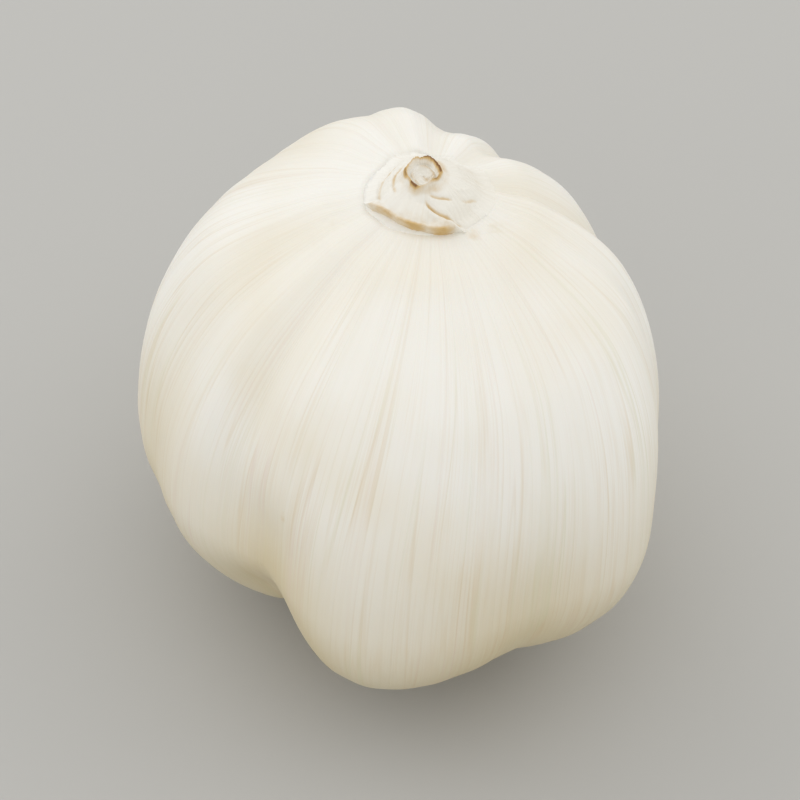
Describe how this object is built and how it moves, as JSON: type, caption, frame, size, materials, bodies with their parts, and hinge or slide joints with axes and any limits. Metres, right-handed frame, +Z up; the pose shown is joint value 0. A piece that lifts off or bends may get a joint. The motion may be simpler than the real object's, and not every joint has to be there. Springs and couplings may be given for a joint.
{
  "type": "garlic bulb",
  "caption": "Whole white garlic bulb with lobed papery skin, a short cut neck and a flat trimmed root plate that it stands on.",
  "frame": {"origin": "centre of the flat cut under the root plate, on which the bulb stands", "axes": "+Z up from the root towards the neck, -Y towards the front of the pictured side, +X to its right"},
  "size_m": [0.0593, 0.0652, 0.0576],
  "materials": {
    "papery_skin": "satin white papery skin with faint tan veins",
    "dry_neck": "matt dry leaf sheaths with brown torn edges",
    "corky_root": "matt corky root plate with trimmed root ends"
  },
  "bodies": {
    "root": {"bulb": "papery_skin", "neck": "dry_neck", "root_plate": "corky_root"}
  },
  "joints": []
}
